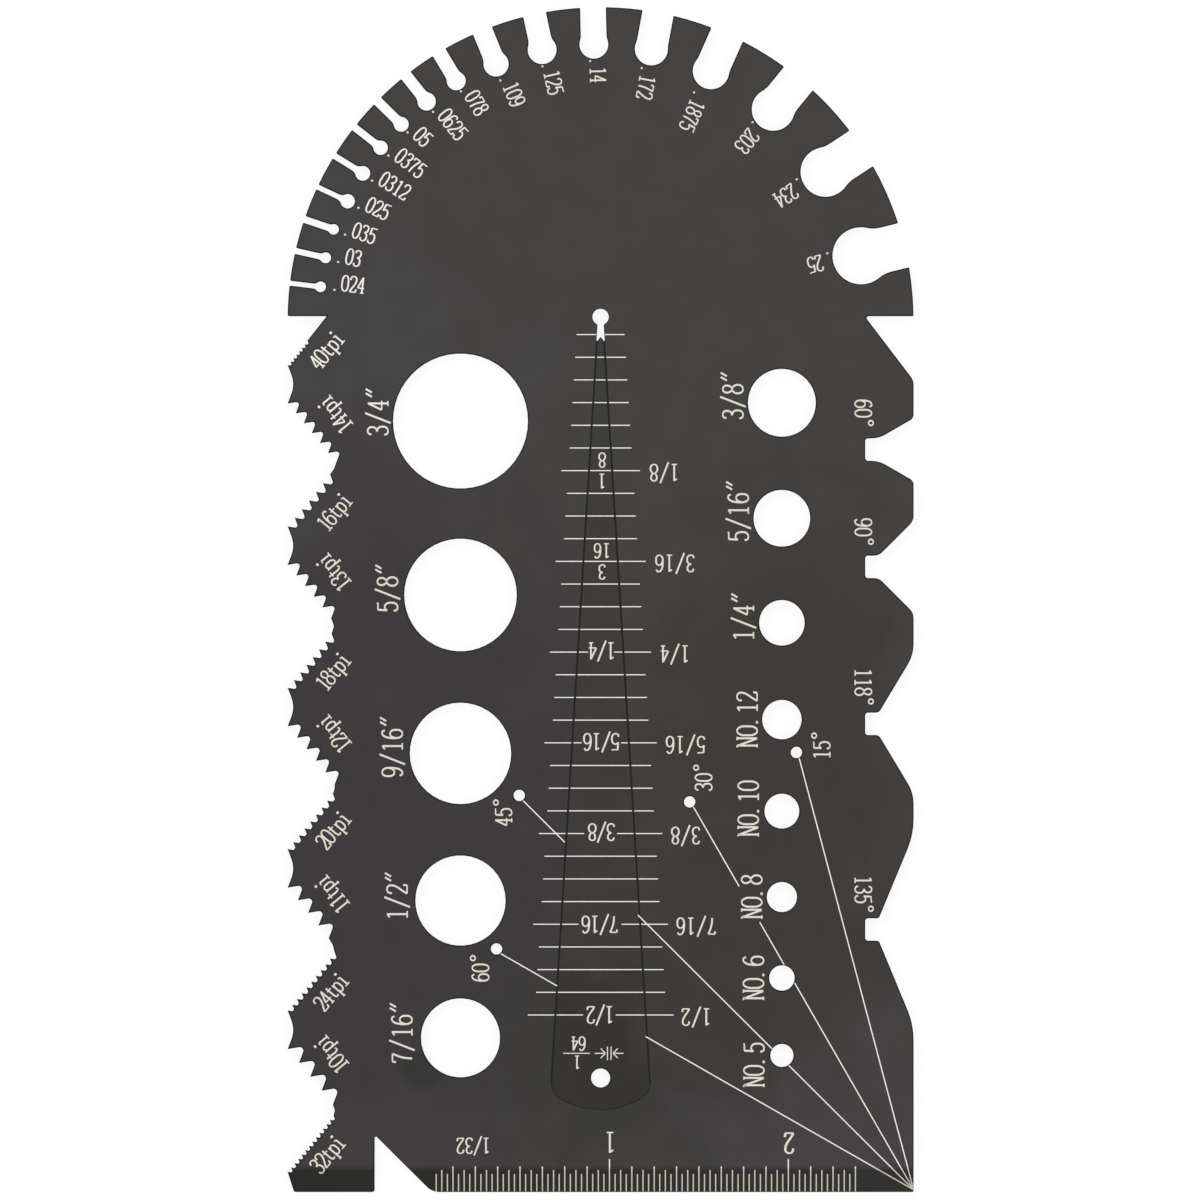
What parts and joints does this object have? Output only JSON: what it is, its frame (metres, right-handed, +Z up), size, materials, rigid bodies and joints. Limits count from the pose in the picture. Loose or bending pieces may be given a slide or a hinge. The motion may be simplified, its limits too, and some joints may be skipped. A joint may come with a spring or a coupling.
{
  "type": "multifunction shop gauge plate",
  "caption": "Flat steel gauge plate with wire and sheet slots, thread pitch teeth, drill point notches, bolt sizing holes, protractor lines and a lift-out taper leaf.",
  "frame": {"origin": "on the underside of the plate, under the middle of its length and width", "axes": "+Z up out of the marked face; +Y along the plate towards the round head; +X to the right"},
  "size_m": [0.0888, 0.1682, 0.0016],
  "materials": {
    "plate": "satin",
    "leaf": "satin"
  },
  "bodies": {
    "root": {"gauge_plate": "plate", "taper_leaf": "leaf"}
  },
  "joints": []
}
